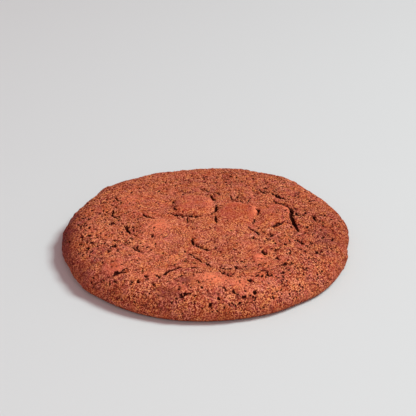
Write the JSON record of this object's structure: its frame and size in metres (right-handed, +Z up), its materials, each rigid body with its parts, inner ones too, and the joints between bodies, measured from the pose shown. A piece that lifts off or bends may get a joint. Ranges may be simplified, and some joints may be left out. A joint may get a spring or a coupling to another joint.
{
  "type": "chocolate cookie",
  "caption": "Round soft-baked chocolate cookie with a rolled rim, a cracked and pitted top with chocolate chunks swelling under the crust, and a flat underside to lie on.",
  "frame": {"origin": "middle of the cookie's box in plan, at the flat underside", "axes": "+Z up through the thickness, +X to the right and +Y to the back as the picture shows it"},
  "size_m": [0.1006, 0.102, 0.0129],
  "materials": {
    "baked_crust": "matte baked chocolate dough, cracked and pitted"
  },
  "bodies": {
    "root": {"cookie": "baked_crust"}
  },
  "joints": []
}
